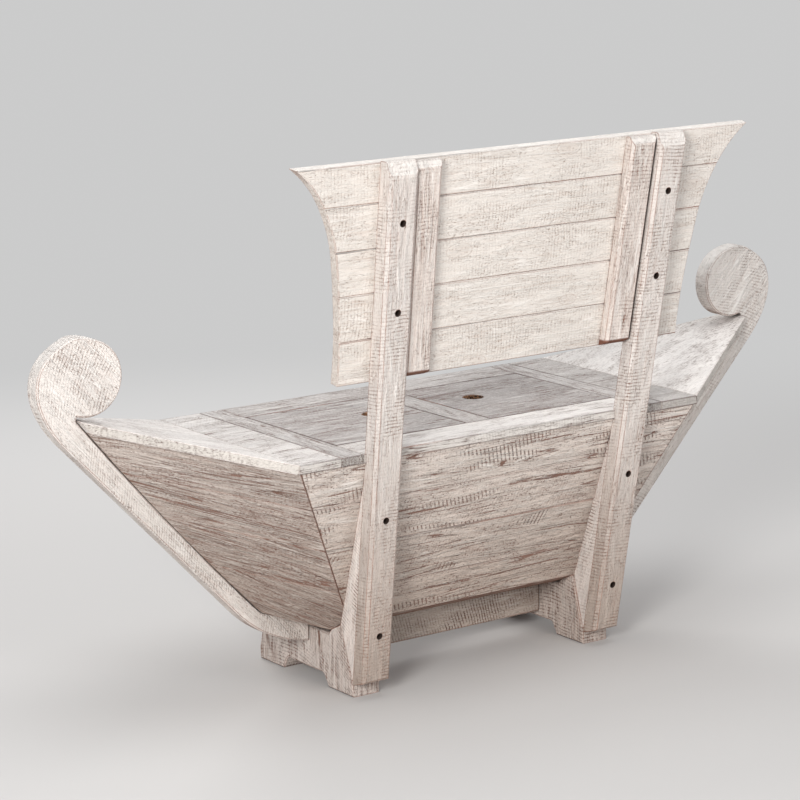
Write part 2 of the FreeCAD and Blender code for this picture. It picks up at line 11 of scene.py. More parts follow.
# Camera, solved from the photograph. Angles in degrees.
CAMERA_PLACE = (3.0667, 4.2370, 1.6180)
CAMERA_AZIMUTH = 145.092
CAMERA_PITCH = 12.095
CAMERA_ROLL = -1.111
CAMERA_LENS_MM = 129.06
CAMERA_SENSOR_MM = 36.0

# Stage and light
FLOOR_SIZE = 40.0
FLOOR_COLOUR = (0.62, 0.61, 0.60)
FLOOR_ROUGHNESS = 0.9
FLOOR_SPECULAR = 0.1
BACKDROP_COLOUR = (0.60, 0.60, 0.60)
FADE_START = 1.3
FADE_END = 3.2
WORLD_COLOUR = (0.96, 0.97, 1.0)
WORLD_STRENGTH = 0.44
LAMPS = (
    # name, place, aim, size, power, colour
    ("key", (3.9, 3.1, 2.1), (0.0, 0.1, 0.5), 1.5, 185.0, (1.0, 0.985, 0.965)),
    ("camera_right", (-1.2, 4.3, 1.6), (0.0, 0.1, 0.5), 1.8, 42.0, (1.0, 0.99, 0.98)),
    ("overhead", (0.0, 0.2, 3.4), (0.0, 0.0, 0.5), 2.4, 34.0, (1.0, 1.0, 1.0)),
    ("front", (-0.8, -3.8, 2.2), (0.0, 0.0, 0.5), 2.0, 70.0, (1.0, 0.99, 0.98)),
)

# Grain directions that the longest side of a board doesn't tell
ALONG_BENCH = Vector((1.0, 0.0, 0.0))
ACROSS_BENCH = Vector((0.0, 1.0, 0.0))
UPRIGHT = Vector((0.0, 0.0, 1.0))
STEM_RAKE = math.radians(46.8)

# Finger holes, bored straight down: centre and radius
FINGER_HOLES = {
    "lid_left": (Vector((0.117, -0.0812, 0.0)), 0.0195),
    "lid_right": (Vector((-0.117, -0.0812, 0.0)), 0.0195),
}
SCREW_HOLE_RADIUS = 0.0055
BORE_RIM = 0.0012

# Colours, linear
# White of the high paint, also a painted highlight on faces that look up
PAINT_RIDGE_AND_TOP_LIGHT = (0.93, 0.90, 0.86)
WORN_RED = (0.30, 0.13, 0.085)
BARE_WOOD = (0.36, 0.19, 0.105)
UNDERSIDE = (0.26, 0.135, 0.095)
BATTEN_FOOT_COLOUR = (0.20, 0.085, 0.055)
# Near black: painted shade in crevices and screw bores, and dirt in seams and finger holes
CREVICE_SHADE_AND_DIRT = (0.045, 0.028, 0.022)
# Painted shade: tint that darkens the paint towards the floor
LOW_SHADE_TINT = (0.32, 0.22, 0.15)
# Painted shade: tint that darkens upright faces
FLANK_SHADE_TINT = (0.76, 0.745, 0.72)
STEEL_DARK = (0.012, 0.010, 0.009)
STEEL_RUST = (0.05, 0.024, 0.014)

# Finish of each slot. base and dark are the paint's and the open grain's colours. The rest are
# strengths: streaks and grain for coarse and fine lines along the board, rings for long wavy ones,
# saw for cross marks, ticks for bands of short cuts, tone for broad patches, rubs for thin paint,
# pits for specks, ridges for white high spots, relief for ripples, wear for rubbed arrises, seams
# for the joints between boards, low for painted shade that darkens the paint towards the floor,
# knots for knots, the painted top light for a painted highlight on faces that look up, end_grain
# for open end grain and the painted flank shade for painted shade on upright faces.
FINISHES = {
    "backrest_wood": {
        "base": (0.835, 0.777, 0.72), "dark": (0.42, 0.31, 0.24), "streaks": 0.04, "grain": 0.17,
        "rings": 0.16, "saw": 0.24, "ticks": 0.0, "tone": 0.05, "rubs": 0.05, "pits": 0.40,
        "ridges": 0.35, "relief": 0.45, "wear": 0.85, "seams": 1.0, "low": 0.0, "knots": 0.35,
        "painted_top_light": 0.5, "end_grain": 0.35, "painted_flank_shade": 0.0,
    },
    "post_wood": {
        "base": (0.81, 0.745, 0.70), "dark": (0.33, 0.225, 0.175), "streaks": 0.10, "grain": 0.26,
        "rings": 0.26, "saw": 0.50, "ticks": 0.0, "tone": 0.10, "rubs": 0.08, "pits": 0.45,
        "ridges": 0.45, "relief": 0.5, "wear": 1.0, "seams": 0.0, "low": 0.62, "knots": 0.4,
        "painted_top_light": 0.75, "end_grain": 0.35, "painted_flank_shade": 0.0,
    },
    "deck_wood": {
        "base": (0.50, 0.465, 0.45), "dark": (0.18, 0.145, 0.13), "streaks": 0.14, "grain": 0.55,
        "rings": 0.55, "saw": 0.16, "ticks": 0.0, "tone": 0.14, "rubs": 0.08, "pits": 0.55,
        "ridges": 0.40, "relief": 0.5, "wear": 0.40, "seams": 0.50, "low": 0.0, "knots": 0.3,
        "painted_top_light": 0.0, "end_grain": 0.30, "painted_flank_shade": 0.7,
    },
    "hull_wood": {
        "base": (0.94, 0.845, 0.775), "dark": (0.20, 0.135, 0.11), "streaks": 0.18, "grain": 0.40,
        "rings": 1.0, "saw": 0.20, "ticks": 0.0, "tone": 0.16, "rubs": 0.18, "pits": 0.85,
        "ridges": 0.60, "relief": 1.0, "wear": 0.60, "seams": 0.60, "low": 0.80, "knots": 0.3,
        "painted_top_light": 0.3, "end_grain": 0.35, "painted_flank_shade": 0.0,
    },
    "frame_wood": {
        "base": (0.82, 0.745, 0.70), "dark": (0.26, 0.175, 0.135), "streaks": 0.16, "grain": 0.36,
        "rings": 0.34, "saw": 0.60, "ticks": 0.0, "tone": 0.14, "rubs": 0.12, "pits": 0.60,
        "ridges": 0.55, "relief": 0.7, "wear": 0.90, "seams": 0.0, "low": 0.45, "knots": 0.3,
        "painted_top_light": 0.4, "end_grain": 0.35, "painted_flank_shade": 0.0,
    },
    "inner_wood": {
        "base": (0.42, 0.29, 0.20), "dark": (0.22, 0.12, 0.07), "streaks": 0.40, "grain": 0.50,
        "rings": 0.40, "saw": 0.40, "ticks": 0.0, "tone": 0.20, "rubs": 0.10, "pits": 0.20,
        "ridges": 0.05, "relief": 0.4, "wear": 0.10, "seams": 0.0, "low": 0.0, "knots": 0.5,
        "painted_top_light": 0.0, "end_grain": 0.35, "painted_flank_shade": 0.0,
    },
}
# What single boards have of their own, by the start of their names
BOARD_FINISHES = {
    "back_batten": {
        "base": (0.86, 0.77, 0.71), "dark": (0.28, 0.17, 0.13), "streaks": 0.22, "rings": 0.4,
        "saw": 0.34, "low": 0.0, "wear": 1.0,
    },
    "bottom_board": {"base": (0.17, 0.11, 0.08)},
    "deck_centre_bar": {"base": (0.58, 0.545, 0.525)},
    "deck_cross_rail": {"base": (0.64, 0.605, 0.585)},
    # Painted light and shade: the right end board is painted darker and the left one paler, for how
    # light falls on each
    "deck_end_board": {"base": (0.62, 0.585, 0.56), "streaks": 0.12, "grain": 0.40},
    "deck_end_board_left": {"base": (0.85, 0.81, 0.78)},
    "deck_rail_front": {"base": (0.60, 0.565, 0.545)},
    # Painted highlight: the rear rail is painted far paler than the front rail, for the light along
    # the deck's rear edge
    "deck_rail_rear": {
        "base": (0.91, 0.87, 0.835), "grain": 0.40, "rings": 0.4, "pits": 0.3, "ridges": 0.2,
        "relief": 0.1,
    },
    "deck_ramp": {
        "base": (0.88, 0.84, 0.805), "grain": 0.42, "rings": 0.12, "pits": 0.1, "ridges": 0.0,
        "relief": 0.1, "wear": 0.25, "painted_flank_shade": 1.0,
    },
    "end_plank": {"base": (0.57, 0.49, 0.44), "rubs": 0.20, "ridges": 0.35, "low": 0.55},
    # Painted shade: the keel is painted much darker, with near-black marks, for the shade under the
    # hull
    "keel_beam": {
        "base": (0.48, 0.40, 0.345), "dark": (0.06, 0.036, 0.024), "streaks": 0.0, "grain": 0.1,
        "rings": 0.0, "saw": 0.9, "ridges": 0.2, "low": 0.0,
    },
    "leg_board": {
        "base": (0.86, 0.77, 0.715), "dark": (0.17, 0.105, 0.08), "streaks": 0.5, "grain": 0.75,
        "low": 0.40,
    },
    # Painted light: the left leg board is painted paler than the right, where the key light falls
    # on it
    "leg_board_left": {"base": (0.93, 0.845, 0.795), "low": 0.32},
    "post_wedge": {"base": (0.93, 0.85, 0.80), "saw": 0.80, "ridges": 0.60, "low": 0.22},
    "side_plank": {"ticks": 0.9, "grain": 0.32, "rubs": 0.10, "tone": 0.10, "low": 0.62},
    "stem": {
        "base": (0.92, 0.86, 0.81), "streaks": 0.03, "grain": 0.17, "rubs": 0.06, "saw": 0.38,
        "rings": 0.22, "pits": 0.42, "low": 0.20, "lean": 0.55, "end_grain": 0.08,
    },
}
STRENGTHS = (
    "streaks", "grain", "rings", "saw", "ticks", "tone", "rubs", "pits", "ridges", "relief",
    "wear", "seams", "low", "knots", "painted_top_light", "end_grain", "painted_flank_shade",
)
# Boards that run along the bench, though another side may be longer
LEVEL_BOARDS = ("lid_l", "lid_r", "deck_ramp", "deck_rail", "deck_end")
# Boards whose ends butt against others, so that a seam runs along them too
BUTTED = ("lid_l", "lid_r", "deck_ramp", "deck_end", "deck_cross", "deck_centre")

# Sockets of the whitewash group
GROUP_INPUTS = (
    ("NodeSocketVector", ("vector", "half", "along")),
    ("NodeSocketFloat", ("seed", "lean", "ends", "shade", "height")),
    ("NodeSocketColor", ("base", "dark")),
    ("NodeSocketFloat", STRENGTHS),
)
GROUP_OUTPUTS = (
    ("NodeSocketColor", "color"),
    ("NodeSocketFloat", "roughness"),
    ("NodeSocketVector", "normal"),
)

# Noise patterns: features per metre, stretch along the board (long below 1), detail, roughness
PATTERNS = {
    "tone": (6.0, 0.35, 4.0, 0.6),
    "streaks": (230.0, 0.055, 3.0, 0.6),
    "grain": (380.0, 0.07, 2.0, 0.6),
    "specks": (420.0, 0.45, 2.0, 0.7),
    "rubs": (30.0, 0.25, 5.0, 0.7),
    "rings": (24.0, 0.05, 2.0, 0.45),
    "ring_breaks": (48.0, 0.10, 3.0, 0.55),
    "ripples": (85.0, 0.2, 3.0, 0.5),
    "saw_wobble": (18.0, 1.0, 2.0, 0.55),
    "saw_patches": (9.0, 1.0, 3.0, 0.55),
    "saw_gaps": (90.0, 0.9, 2.0, 0.55),
    "tick_bands": (11.0, 0.16, 1.0, 0.55),
    "tick_patches": (5.0, 0.8, 1.0, 0.55),
    "tick_gaps": (150.0, 0.9, 2.0, 0.55),
    "bore_dirt": (260.0, 1.0, 2.0, 0.55),
    "rust": (210.0, 1.0, 3.0, 0.55),
}
# Values between which something comes to show: 0 at the first, 1 at the second
SHOWS = {
    "bare": (0.62, 0.36),
    "thin_paint": (0.56, 0.44),
    "streaks": (0.50, 0.38),
    "grain": (0.50, 0.36),
    "pits": (0.42, 0.32),
    "red_grain": (0.58, 0.50),
    "high_spots": (0.52, 0.62),
    "seam_dirt": (0.40, 0.50),
    "seam_gaps": (0.40, 0.50),
    "looks_up": (0.25, 0.50),
    "stands_upright": (0.50, 0.25),
    "looks_down": (-0.62, -0.90),
    "looks_along_grain": (0.60, 0.85),
    "end_pores": (0.60, 0.44),
    "ring_crests": (0.80, 0.99),
    "ring_breaks": (0.42, 0.56),
    "saw_cuts": (0.3, 1.0),
    "saw_patches": (0.38, 0.56),
    "saw_gaps": (0.28, 0.56),
    "tick_cuts": (0.2, 0.8),
    "tick_bands": (0.036, 0.026),
    "tick_patches": (0.48, 0.54),
    "tick_gaps": (0.30, 0.46),
    "knot_sizes": (0.45, 1.0),
    "knot_present": (0.50, 0.56),
    "knot_core": (0.0, 0.002),
    "knot_ring": (0.0, 0.0015),
    "knot_heart": (0.0022, 0.0010),
    "edge_rubbed": (0.42, 0.54),
    "edge_turns": (0.010, 0.045),
    "crevice": (0.52, 0.14),
    "bore_dirt": (0.45, 0.60),
}

# Sizes and spacings of the marks
RING_LINES = 14.0
RIDGE_PHASE = 0.8 * math.pi
SAW_LINES_PER_M = 150.0
SAW_BOW = 1.6
SAW_LEAN = 0.24
SAW_WOBBLE = 0.010
TICKS_PER_M = 112.0
TICK_LEAN = 0.35
TICK_BAND_LEVEL = 0.53
KNOTS_PER_M = 7.0
KNOT_STRETCH = 0.5
KNOT_SIZE = 0.012
KNOT_RING_INSET = 0.002
WEAR_RADIUS = 0.0026
# Reach of the painted crevice shade
CREVICE_REACH = 0.010
SEAM_WIDTH = 0.0027
BATTEN_FOOT = 0.014
# Height below which painted shade darkens the paint
LOW_SHADE_TOP = 0.62
SHADER_SAMPLES = 8

# How strongly the marks show
MARKS_ON_THICK_PAINT = 0.55
MARKS_ON_THIN_PAINT = 0.75
SAW_COVER_GAIN = 1.4
SAW_COVER = 0.8
RUB_SHARE = 0.5
RED_GRAIN_SHARE = 0.30
UNDERSIDE_SHARE = 0.40
UNDERSIDE_THIN_SHARE = 0.50
KNOT_CORE_SHARE = 0.5
KNOT_HEART_SHARE = 2.0
EDGE_LEAST_RUB = 0.25
SEAM_LEAST = 0.60
# Strength of the painted crevice shade
CREVICE_SHARE = 0.85

# Gloss and relief
WOOD_SPECULAR = 0.25
WOOD_ROUGHNESS = 0.74
MARK_ROUGHNESS = 0.2
STEEL_SPECULAR = 0.1
STEEL_ROUGHNESS = 0.6
RUST_ROUGHNESS = 0.3
BUMP_DEPTH = 0.0016
SPECK_RELIEF = 0.35
RING_RELIEF = 2.0
RIPPLE_RELIEF = 6.0

# How boards differ from each other
SEED_STEP = 3.17
SEED_ACROSS = 0.37
SHADE_SPREAD = 0.05


class Graph:
    """A node tree that is built by chained calls."""

    def __init__(self, tree):
        self.tree = tree

    def node(self, kind, **settings):
        made = self.tree.nodes.new(kind)
        for name, value in settings.items():
            setattr(made, name, value)
        return made

    def put(self, socket, value):
        if isinstance(value, bpy.types.NodeSocket):
            self.tree.links.new(value, socket)
        elif isinstance(value, tuple) and socket.type == "RGBA":
            socket.default_value = (*value, 1.0)
        else:
            socket.default_value = value

    def fill(self, sockets, values):
        for socket, value in zip(sockets, values):
            self.put(socket, value)

    def math(self, operation, *values, clamp=False):
        made = self.node("ShaderNodeMath", operation=operation, use_clamp=clamp)
        self.fill(made.inputs, values)
        return made.outputs[0]

    def times(self, *values):
        result = values[0]
        for value in values[1:]:
            result = self.math("MULTIPLY", result, value)
        return result

    def plus(self, *values):
        result = values[0]
        for value in values[1:]:
            result = self.math("ADD", result, value)
        return result

    def less(self, first, second):
        return self.math("SUBTRACT", first, second)

    def most(self, first, second):
        return self.math("MAXIMUM", first, second)

    def size(self, value):
        return self.math("ABSOLUTE", value)

    def ramp(self, value, low, high):
        """0 at low, 1 at high, smooth between them."""
        made = self.node("ShaderNodeMapRange", interpolation_type="SMOOTHSTEP")
        for name, given in (("Value", value), ("From Min", low), ("From Max", high)):
            self.put(made.inputs[name], given)
        return made.outputs["Result"]

    def shows(self, value, name):
        """Ramp between the named values of SHOWS."""
        return self.ramp(value, *SHOWS[name])

    def mix(self, factor, first, second, blend="MIX"):
        made = self.node("ShaderNodeMix", data_type="RGBA", blend_type=blend)
        self.fill((made.inputs[0], made.inputs[6], made.inputs[7]), (factor, first, second))
        return made.outputs[2]

    def vector(self, operation, *values):
        made = self.node("ShaderNodeVectorMath", operation=operation)
        self.fill(made.inputs, values)
        gives_number = operation in ("DOT_PRODUCT", "LENGTH")
        return made.outputs["Value" if gives_number else "Vector"]

    def parts(self, vector):
        made = self.node("ShaderNodeSeparateXYZ")
        self.put(made.inputs[0], vector)
        return made.outputs

    def pattern(self, vector, name):
        """The named noise of PATTERNS, stretched along X."""
        scale, stretch, detail, roughness = PATTERNS[name]
        if stretch != 1.0:
            vector = self.vector("MULTIPLY", vector, (stretch, 1.0, 1.0))
        made = self.node("ShaderNodeTexNoise", noise_dimensions="3D")
        self.put(made.inputs["Vector"], vector)
        made.inputs["Scale"].default_value = scale
        made.inputs["Detail"].default_value = detail
        made.inputs["Roughness"].default_value = roughness
        return made.outputs["Fac"]


def whitewash_group():
    """Shader group for whitewashed wood.

    Its vector has X along the grain, Z out of the board's face and zero at the board's middle.
    """
    tree = bpy.data.node_groups.new("whitewash", "ShaderNodeTree")
    for kind, names in GROUP_INPUTS:
        for name in names:
            tree.interface.new_socket(name, in_out="INPUT", socket_type=kind)
    for kind, name in GROUP_OUTPUTS:
        tree.interface.new_socket(name, in_out="OUTPUT", socket_type=kind)
    graph = Graph(tree)
    given = graph.node("NodeGroupInput").outputs
    place = seeded_place(graph, given)
    shared = ("tone", "streaks", "grain", "specks", "rubs", "rings")
    fields = {name: graph.pattern(place, name) for name in shared}
    thin = graph.shows(fields["rubs"], "thin_paint")
    marks = dark_marks(graph, given, place, fields, thin)
    high = high_spots(graph, place, fields)
    # Painted shade: the paint and its white high spots darken towards the floor
    low = graph.times(graph.ramp(given["height"], LOW_SHADE_TOP, 0.0), given["low"])
    pale = graph.mix(low, PAINT_RIDGE_AND_TOP_LIGHT, LOW_SHADE_TINT, "MULTIPLY")
    colour = paint_colour(graph, given, fields, thin, marks, low)
    colour = graph.mix(graph.times(high, given["ridges"]), colour, pale)
    colour = worn_colour(graph, given, fields, colour)
    colour = faced_colour(graph, given, fields, thin, pale, colour)
    out = graph.node("NodeGroupOutput").inputs
    # Painted shade: the colour goes to near black where ambient occlusion finds a crevice
    graph.put(out["color"], graph.mix(painted_crevice_shade(graph), colour, CREVICE_SHADE_AND_DIRT))
    graph.put(out["roughness"], graph.plus(WOOD_ROUGHNESS, graph.times(marks, MARK_ROUGHNESS)))
    graph.put(out["normal"], relief_normal(graph, given, place, fields, marks, high))
    return tree


def seeded_place(graph, given):
    """The board's own place in the patterns."""
    shift = graph.node("ShaderNodeCombineXYZ")
    graph.put(shift.inputs["X"], given["seed"])
    graph.put(shift.inputs["Y"], graph.times(given["seed"], SEED_ACROSS))
    return graph.vector("ADD", given["vector"], shift.outputs[0])


def dark_marks(graph, given, place, fields, thin):
    """Open grain, saw marks, pits, cuts and knots: 1 where they are darkest."""
    saw, sawn = saw_lines(graph, given, place)
    lines = graph.plus(
        graph.times(graph.shows(fields["streaks"], "streaks"), given["streaks"]),
        graph.times(graph.shows(fields["grain"], "grain"), given["grain"]),
        graph.times(ring_lines(graph, place, fields["rings"], 0.0), given["rings"]),
    )
    cover = graph.times(sawn, graph.math("MULTIPLY", given["saw"], SAW_COVER_GAIN, clamp=True))
    marks = graph.plus(
        graph.times(lines, graph.less(1.0, graph.times(cover, SAW_COVER))),
        graph.times(saw, given["saw"]),
        graph.times(graph.shows(fields["specks"], "pits"), given["pits"]),
    )
    clearness = graph.plus(MARKS_ON_THICK_PAINT, graph.times(thin, MARKS_ON_THIN_PAINT))
    marks = graph.math("MULTIPLY", marks, clearness, clamp=True)
    marks = graph.most(marks, graph.times(tick_bands(graph, given, place), given["ticks"]))
    return graph.most(marks, graph.times(knot_mask(graph, place), given["knots"]))


def high_spots(graph, place, fields):
    """Spots and lines where the paint stands high and stays white."""
    grit = graph.plus(graph.times(fields["grain"], 0.5), graph.times(fields["specks"], 0.5))
    crests = ring_lines(graph, place, fields["rings"], RIDGE_PHASE)
    return graph.most(graph.shows(grit, "high_spots"), crests)


def paint_colour(graph, given, fields, thin, marks, low):
    """Paint in broad patches, with painted shade that darkens it towards the floor, and the dark
    marks in it.
    """
    bare = graph.shows(fields["tone"], "bare")
    shade = graph.less(1.0, graph.times(bare, given["tone"]))
    base = graph.mix(1.0, given["base"], graph.times(shade, given["shade"]), "MULTIPLY")
    # Painted shade towards the floor
    base = graph.mix(low, base, LOW_SHADE_TINT, "MULTIPLY")
    base = graph.mix(graph.times(thin, given["rubs"], RUB_SHARE), base, given["dark"])
    red = graph.mix(graph.shows(fields["rubs"], "red_grain"), given["dark"], WORN_RED)
    return graph.mix(marks, base, graph.mix(RED_GRAIN_SHARE, given["dark"], red))


def worn_colour(graph, given, fields, colour):
    """The colour with worn arrises and dirty seams."""
    colour = graph.mix(edge_mask(graph, fields["rubs"], given["wear"]), colour, WORN_RED)
    seam = graph.times(seam_mask(graph, given, fields["rubs"]), given["seams"])
    dirt = graph.mix(graph.shows(fields["tone"], "seam_dirt"), WORN_RED, CREVICE_SHADE_AND_DIRT)
    return graph.mix(seam, colour, dirt)


def faced_colour(graph, given, fields, thin, pale, colour):
    """The colour with what depends on where a face looks: a painted highlight on faces that look
    up, painted shade on upright faces, the underside colour on faces that look down, and open end
    grain on faces along the grain.
    """
    normal = graph.node("ShaderNodeNewGeometry").outputs["True Normal"]
    rise = graph.parts(normal)["Z"]
    # Painted highlight: faces that look up are painted paler, as light from above shows them
    colour = graph.mix(graph.times(graph.shows(rise, "looks_up"), given["painted_top_light"]), colour, pale)
    # Painted shade: upright faces, such as the deck's edges, are darkened as shade would darken
    # them
    upright = graph.times(graph.shows(graph.size(rise), "stands_upright"), given["painted_flank_shade"])
    colour = graph.mix(upright, colour, FLANK_SHADE_TINT, "MULTIPLY")
    bareness = graph.plus(UNDERSIDE_SHARE, graph.times(thin, UNDERSIDE_THIN_SHARE))
    underside = graph.times(graph.shows(rise, "looks_down"), bareness)
    colour = graph.mix(underside, colour, UNDERSIDE)
    facing = graph.size(graph.vector("DOT_PRODUCT", normal, given["along"]))
    pores = graph.shows(fields["specks"], "end_pores")
    end_grain = graph.times(graph.shows(facing, "looks_along_grain"), pores, given["end_grain"])
    return graph.mix(end_grain, colour, given["dark"])


def relief_normal(graph, given, place, fields, marks, high):
    """Normal of the rough surface: sunk marks, specks, rings, high paint and ripples."""
    height = graph.plus(
        graph.less(1.0, marks),
        graph.times(fields["specks"], SPECK_RELIEF),
        graph.times(fields["rings"], RING_RELIEF),
        graph.times(high, given["ridges"]),
        graph.times(graph.pattern(place, "ripples"), given["relief"], RIPPLE_RELIEF),
    )
    bump = graph.node("ShaderNodeBump")
    bump.inputs["Strength"].default_value = 1.0
    bump.inputs["Distance"].default_value = BUMP_DEPTH
    graph.put(bump.inputs["Height"], height)
    return bump.outputs["Normal"]


def ring_lines(graph, place, field, phase):
    """Long wavy grain lines: contours of a stretched noise."""
    wave = graph.math("SINE", graph.plus(graph.times(field, RING_LINES * math.tau), phase))
    broken = graph.shows(graph.pattern(place, "ring_breaks"), "ring_breaks")
    return graph.times(graph.shows(wave, "ring_crests"), broken)


def saw_lines(graph, given, place):
    """Saw marks: fine lines across the grain, bowed like a big blade's, in uneven patches.

    Gives the lines and the patches that they lie in.
    """
    parts = graph.parts(given["vector"])
    along = graph.plus(
        parts["X"],
        graph.times(parts["Y"], parts["Y"], SAW_BOW),
        graph.times(parts["Y"], given["lean"]),
        graph.times(graph.pattern(place, "saw_wobble"), SAW_WOBBLE),
    )
    wave = graph.math("SINE", graph.times(along, SAW_LINES_PER_M * math.tau))
    patch = graph.shows(graph.pattern(place, "saw_patches"), "saw_patches")
    gaps = graph.shows(graph.pattern(place, "saw_gaps"), "saw_gaps")
    return graph.times(graph.shows(wave, "saw_cuts"), patch, gaps), patch


def tick_bands(graph, given, place):
    """Bands of short cuts across the grain, where a coarse saw skipped."""
    parts = graph.parts(given["vector"])
    along = graph.plus(parts["X"], graph.times(parts["Y"], TICK_LEAN))
    wave = graph.math("SINE", graph.times(along, TICKS_PER_M * math.tau))
    off_band = graph.size(graph.less(graph.pattern(place, "tick_bands"), TICK_BAND_LEVEL))
    return graph.times(
        graph.shows(wave, "tick_cuts"),
        graph.shows(off_band, "tick_bands"),
        graph.shows(graph.pattern(place, "tick_patches"), "tick_patches"),
        graph.shows(graph.pattern(place, "tick_gaps"), "tick_gaps"),
    )


def knot_mask(graph, place):
    """Scattered knots of uneven size, each with a dark ring and a darker heart."""
    flat = graph.vector("MULTIPLY", place, (KNOT_STRETCH, 1.0, 0.0))
    cells = graph.node("ShaderNodeTexVoronoi", voronoi_dimensions="2D", feature="F1")
    cells.inputs["Scale"].default_value = KNOTS_PER_M
    graph.put(cells.inputs["Vector"], flat)
    distance = graph.times(cells.outputs["Distance"], 1.0 / KNOTS_PER_M)
    chance = graph.parts(cells.outputs["Color"])["X"]
    inside = graph.less(graph.times(graph.shows(chance, "knot_sizes"), KNOT_SIZE), distance)
    off_ring = graph.size(graph.plus(inside, KNOT_RING_INSET))
    knot = graph.plus(
        graph.times(graph.shows(inside, "knot_core"), KNOT_CORE_SHARE),
        graph.less(1.0, graph.shows(off_ring, "knot_ring")),
        graph.times(graph.shows(distance, "knot_heart"), KNOT_HEART_SHARE),
    )
    return graph.math("MULTIPLY", knot, graph.shows(chance, "knot_present"), clamp=True)


def edge_mask(graph, rubs, wear):
    """1 beside a worn arris, broken up by patches."""
    bevel = graph.node("ShaderNodeBevel", samples=SHADER_SAMPLES)
    bevel.inputs["Radius"].default_value = WEAR_RADIUS
    geometry = graph.node("ShaderNodeNewGeometry")
    facing = graph.vector("DOT_PRODUCT", bevel.outputs["Normal"], geometry.outputs["Normal"])
    rubbed = graph.plus(graph.shows(rubs, "edge_rubbed"), EDGE_LEAST_RUB)
    mask = graph.shows(graph.times(graph.less(1.0, facing), rubbed), "edge_turns")
    return graph.math("MULTIPLY", mask, wear, clamp=True)


def seam_mask(graph, given, rubs):
    """1 on a board's face along its long edges, and along its ends where ends is 1."""
    inset = graph.vector("SUBTRACT", given["half"], graph.vector("ABSOLUTE", given["vector"]))
    parts = graph.parts(inset)
    side = graph.ramp(parts["Y"], SEAM_WIDTH, SEAM_WIDTH / 2)
    end = graph.times(graph.ramp(parts["X"], SEAM_WIDTH, SEAM_WIDTH / 3), given["ends"])
    face = graph.ramp(parts["Z"], SEAM_WIDTH, SEAM_WIDTH / 2)
    more = graph.times(graph.shows(rubs, "seam_gaps"), 1.0 - SEAM_LEAST)
    return graph.times(graph.most(side, end), face, graph.plus(SEAM_LEAST, more))


def painted_crevice_shade(graph):
    """Painted shade: high deep in the seams and corners between boards, where ambient occlusion
    finds them.
    """
    occlusion = graph.node("ShaderNodeAmbientOcclusion", samples=SHADER_SAMPLES)
    occlusion.inputs["Distance"].default_value = CREVICE_REACH
    return graph.times(graph.shows(occlusion.outputs["AO"], "crevice"), CREVICE_SHARE)


def main_axes(points):
    """Unit vectors of the smallest and the largest spread of points."""
    spread = np.cov((points - points.mean(axis=0)).T)
    order = np.linalg.eigh(spread)[1]
    return Vector(order[:, 0]), Vector(order[:, 2])


def board_axes(name, points):
    """Unit vectors along a board's grain, across its width and out of its face."""
    face, grain = main_axes(points)
    if name.startswith(LEVEL_BOARDS):
        grain = ALONG_BENCH
    if name.startswith("leg_board"):
        grain = UPRIGHT
        face = ALONG_BENCH
    if name.startswith("stem"):
        side = -1.0 if "right" in name else 1.0
        grain = Vector((side * math.cos(STEM_RAKE), 0.0, math.sin(STEM_RAKE)))
        face = ACROSS_BENCH
    face = (face - grain * face.dot(grain)).normalized()
    return grain.normalized(), face.cross(grain).normalized(), face


def mesh_points(obj):
    """The mesh's vertices as rows of an array."""
    return np.array([tuple(vertex.co) for vertex in obj.data.vertices])


def middle_of(points):
    """Middle of the box round some points."""
    return Vector((points.min(axis=0) + points.max(axis=0)) / 2)


def board_finish(name, slot):
    """Finish of a board: its slot's, with what it has of its own."""
    finish = dict(FINISHES[slot])
    for start, own in BOARD_FINISHES.items():
        if name.startswith(start):
            finish.update(own)
    return finish


def new_material(name, specular):
    """A material, its node graph and its shader."""
    material = bpy.data.materials.new(name)
    material.use_nodes = True
    shader = material.node_tree.nodes["Principled BSDF"]
    shader.inputs["Specular IOR Level"].default_value = specular
    return material, Graph(material.node_tree), shader


